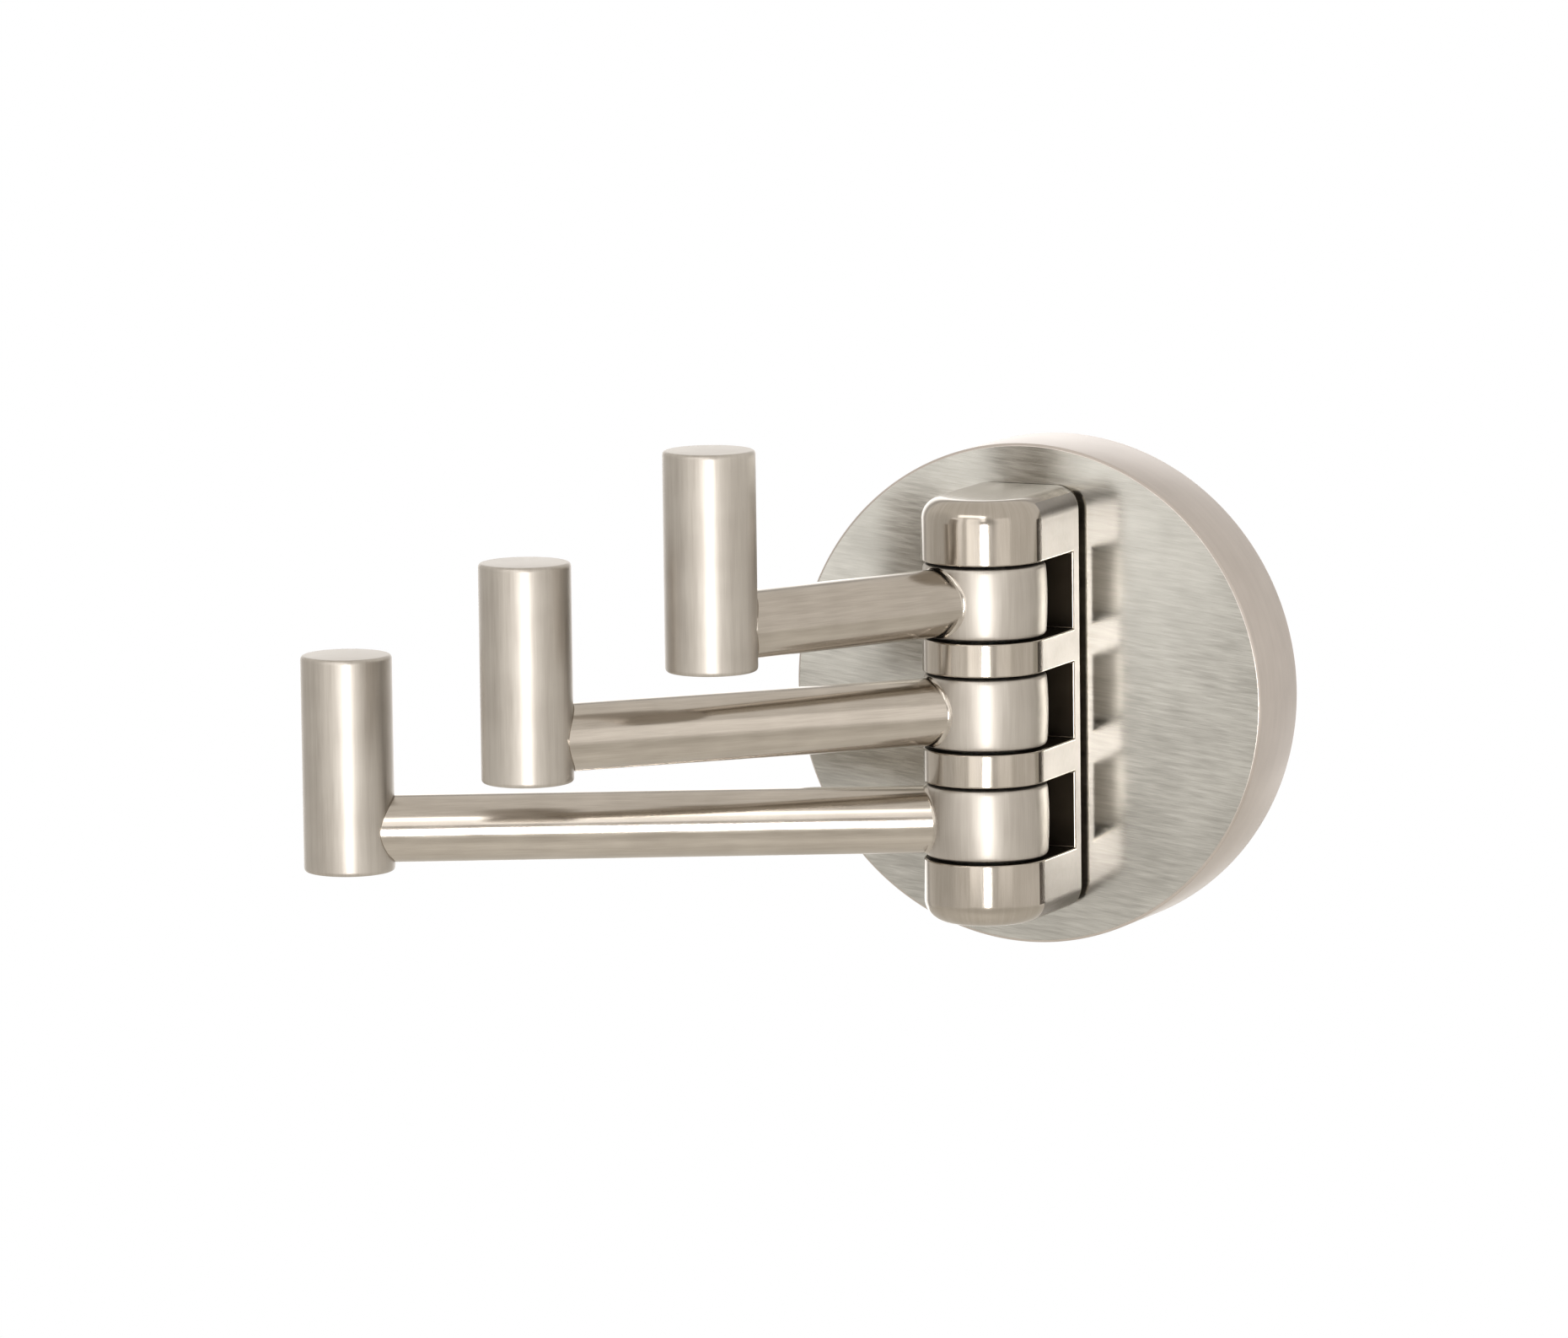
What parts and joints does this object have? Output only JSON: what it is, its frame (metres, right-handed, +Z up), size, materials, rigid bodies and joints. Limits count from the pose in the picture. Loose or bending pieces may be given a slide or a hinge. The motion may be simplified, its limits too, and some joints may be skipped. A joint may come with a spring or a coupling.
{
  "type": "swivel robe hook",
  "caption": "Robe hook with swinging arms on a vertical hinge: a round wall plate carries a lugged bracket, and each arm is a round rod with an upright post at its end.",
  "frame": {"origin": "centre of the wall plate's rear face, on the wall", "axes": "+Z up, +Y into the wall, so the hook stands out towards -Y; +X to the right of someone who faces the wall"},
  "size_m": [0.1142, 0.1057, 0.071],
  "materials": {
    "satin_nickel": "satin brushed nickel over a zinc casting, warm grey",
    "brushed_nickel_plate": "brushed nickel with fine straight strokes across the round face",
    "zinc_plated_steel": "zinc-plated steel, as on screws and stamped brackets",
    "ground_steel": "ground stainless steel",
    "nylon": "natural nylon",
    "wall_plug_plastic": "grey moulded plastic"
  },
  "bodies": {
    "base": {"backplate_cover": "brushed_nickel_plate", "wall_bracket": "zinc_plated_steel", "wall_screw_left": "zinc_plated_steel", "wall_screw_right": "zinc_plated_steel", "wall_anchor_left": "wall_plug_plastic", "wall_anchor_right": "wall_plug_plastic", "cover_set_screw": "ground_steel", "hinge_bracket": "satin_nickel", "bracket_screw_upper": "zinc_plated_steel", "bracket_screw_lower": "zinc_plated_steel", "bracket_washer_upper": "zinc_plated_steel", "bracket_washer_lower": "zinc_plated_steel", "hinge_pin": "ground_steel", "pin_retaining_screw": "ground_steel", "friction_washer_upper_top": "nylon", "friction_washer_upper_bottom": "nylon", "friction_washer_middle_top": "nylon", "friction_washer_middle_bottom": "nylon", "friction_washer_lower_top": "nylon", "friction_washer_lower_bottom": "nylon"},
    "upper_arm": {"upper_arm_knuckle": "satin_nickel", "upper_arm_rod": "satin_nickel", "upper_arm_post": "satin_nickel"},
    "middle_arm": {"middle_arm_knuckle": "satin_nickel", "middle_arm_rod": "satin_nickel", "middle_arm_post": "satin_nickel"},
    "lower_arm": {"lower_arm_knuckle": "satin_nickel", "lower_arm_rod": "satin_nickel", "lower_arm_post": "satin_nickel"}
  },
  "joints": [
    {"name": "upper_arm_swing", "type": "hinge", "parent": "base", "child": "upper_arm", "pos_m": [0, -0.0267, 0.0146], "axis": [0, 0, 1], "range_deg": [-61, 119]},
    {"name": "middle_arm_swing", "type": "hinge", "parent": "base", "child": "middle_arm", "pos_m": [0, -0.0267, 0], "axis": [0, 0, 1], "range_deg": [-46, 134]},
    {"name": "lower_arm_swing", "type": "hinge", "parent": "base", "child": "lower_arm", "pos_m": [0, -0.0267, -0.0146], "axis": [0, 0, 1], "range_deg": [-26.5, 153.5]}
  ]
}
